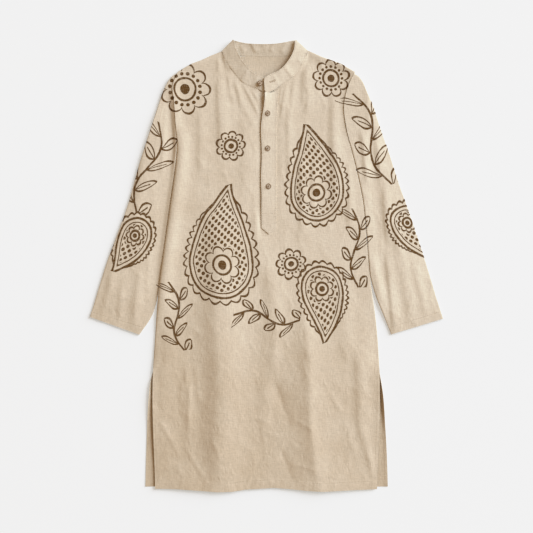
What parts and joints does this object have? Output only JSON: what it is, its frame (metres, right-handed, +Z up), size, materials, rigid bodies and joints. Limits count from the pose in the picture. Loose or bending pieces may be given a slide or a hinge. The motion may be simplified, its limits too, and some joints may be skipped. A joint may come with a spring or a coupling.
{
  "type": "kurta tunic",
  "caption": "Long-sleeved linen kurta with a stand collar, buttoned half placket and side slits, laid flat with its front up.",
  "frame": {"origin": "centre of the underside's bounding box, on the surface the garment lies on", "axes": "+Z up from the surface, +Y from the hem to the collar, +X to the wearer's left arm"},
  "size_m": [0.848, 1.0838, 0.0166],
  "materials": {
    "linen": "matt slubby linen, natural beige",
    "linen_print": "matt slubby linen, natural beige, with brown printed ornament",
    "linen_inside": "matt slubby linen, unprinted inner face",
    "button": "satin brown horn look"
  },
  "bodies": {
    "root": {"back": "linen_inside", "front": "linen_print", "sleeve_right": "linen_print", "sleeve_left": "linen_print", "collar": "linen", "placket_under": "linen", "placket_top": "linen", "button_1": "button", "button_2": "button", "button_3": "button", "button_collar": "button"}
  },
  "joints": []
}
